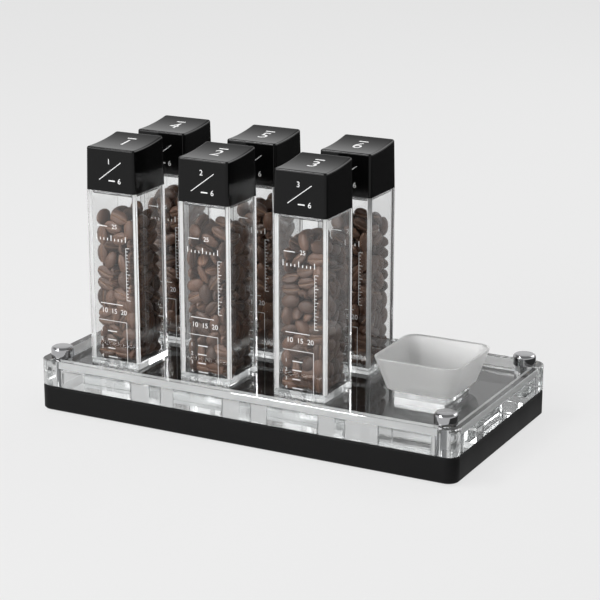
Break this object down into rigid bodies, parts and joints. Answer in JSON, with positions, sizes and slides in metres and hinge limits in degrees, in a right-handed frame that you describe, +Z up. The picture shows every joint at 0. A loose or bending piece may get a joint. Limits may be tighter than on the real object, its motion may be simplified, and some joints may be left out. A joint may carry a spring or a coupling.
{
  "type": "coffee bean canister rack",
  "caption": "Clear tray on a black plinth holding square clear bean canisters with keycap-shaped lids, and a small frosted dish on a clear foot.",
  "frame": {"origin": "on the table, under the middle of the rack", "axes": "+X along the rack towards the dish, +Y from the front to the back, +Z up"},
  "size_m": [0.272, 0.136, 0.1632],
  "materials": {
    "plinth_black": "satin black",
    "cap_black": "satin black",
    "clear_acrylic": "polished clear acrylic",
    "frosted_acrylic": "frosted translucent white",
    "screw_chrome": "polished",
    "insert_brass": "turned",
    "foot_rubber": "matt black",
    "seal_silicone": "translucent",
    "roasted_beans": "dark roasted coffee beans, slightly oily"
  },
  "bodies": {
    "rack": {"base_plinth": "plinth_black", "clear_deck": "clear_acrylic", "foot_pad_1": "foot_rubber", "foot_pad_2": "foot_rubber", "foot_pad_3": "foot_rubber", "foot_pad_4": "foot_rubber", "corner_screw_1": "screw_chrome", "corner_screw_2": "screw_chrome", "corner_screw_3": "screw_chrome", "corner_screw_4": "screw_chrome", "screw_insert_1": "insert_brass", "screw_insert_2": "insert_brass", "screw_insert_3": "insert_brass", "screw_insert_4": "insert_brass"},
    "canister_1": {"canister_tube_1": "clear_acrylic", "bean_fill_1": "roasted_beans"},
    "lid_1": {"lid_cap_1": "cap_black", "lid_plug_1": "clear_acrylic", "lid_seal_1": "seal_silicone"},
    "canister_2": {"canister_tube_2": "clear_acrylic", "bean_fill_2": "roasted_beans"},
    "lid_2": {"lid_cap_2": "cap_black", "lid_plug_2": "clear_acrylic", "lid_seal_2": "seal_silicone"},
    "canister_3": {"canister_tube_3": "clear_acrylic", "bean_fill_3": "roasted_beans"},
    "lid_3": {"lid_cap_3": "cap_black", "lid_plug_3": "clear_acrylic", "lid_seal_3": "seal_silicone"},
    "canister_4": {"canister_tube_4": "clear_acrylic", "bean_fill_4": "roasted_beans"},
    "lid_4": {"lid_cap_4": "cap_black", "lid_plug_4": "clear_acrylic", "lid_seal_4": "seal_silicone"},
    "canister_5": {"canister_tube_5": "clear_acrylic", "bean_fill_5": "roasted_beans"},
    "lid_5": {"lid_cap_5": "cap_black", "lid_plug_5": "clear_acrylic", "lid_seal_5": "seal_silicone"},
    "canister_6": {"canister_tube_6": "clear_acrylic", "bean_fill_6": "roasted_beans"},
    "lid_6": {"lid_cap_6": "cap_black", "lid_plug_6": "clear_acrylic", "lid_seal_6": "seal_silicone"},
    "dish": {"dish_foot": "clear_acrylic", "dish_bowl": "frosted_acrylic"}
  },
  "joints": [
    {"name": "canister_1_lift", "type": "slide", "parent": "rack", "child": "canister_1", "axis": [0, 0, 1], "range_m": [0, 0.04]},
    {"name": "lid_1_lift", "type": "slide", "parent": "canister_1", "child": "lid_1", "axis": [0, 0, 1], "range_m": [0, 0.02]},
    {"name": "canister_2_lift", "type": "slide", "parent": "rack", "child": "canister_2", "axis": [0, 0, 1], "range_m": [0, 0.04]},
    {"name": "lid_2_lift", "type": "slide", "parent": "canister_2", "child": "lid_2", "axis": [0, 0, 1], "range_m": [0, 0.02]},
    {"name": "canister_3_lift", "type": "slide", "parent": "rack", "child": "canister_3", "axis": [0, 0, 1], "range_m": [0, 0.04]},
    {"name": "lid_3_lift", "type": "slide", "parent": "canister_3", "child": "lid_3", "axis": [0, 0, 1], "range_m": [0, 0.02]},
    {"name": "canister_4_lift", "type": "slide", "parent": "rack", "child": "canister_4", "axis": [0, 0, 1], "range_m": [0, 0.04]},
    {"name": "lid_4_lift", "type": "slide", "parent": "canister_4", "child": "lid_4", "axis": [0, 0, 1], "range_m": [0, 0.02]},
    {"name": "canister_5_lift", "type": "slide", "parent": "rack", "child": "canister_5", "axis": [0, 0, 1], "range_m": [0, 0.04]},
    {"name": "lid_5_lift", "type": "slide", "parent": "canister_5", "child": "lid_5", "axis": [0, 0, 1], "range_m": [0, 0.02]},
    {"name": "canister_6_lift", "type": "slide", "parent": "rack", "child": "canister_6", "axis": [0, 0, 1], "range_m": [0, 0.04]},
    {"name": "lid_6_lift", "type": "slide", "parent": "canister_6", "child": "lid_6", "axis": [0, 0, 1], "range_m": [0, 0.02]},
    {"name": "dish_lift", "type": "slide", "parent": "rack", "child": "dish", "axis": [0, 0, 1], "range_m": [0, 0.03]}
  ]
}
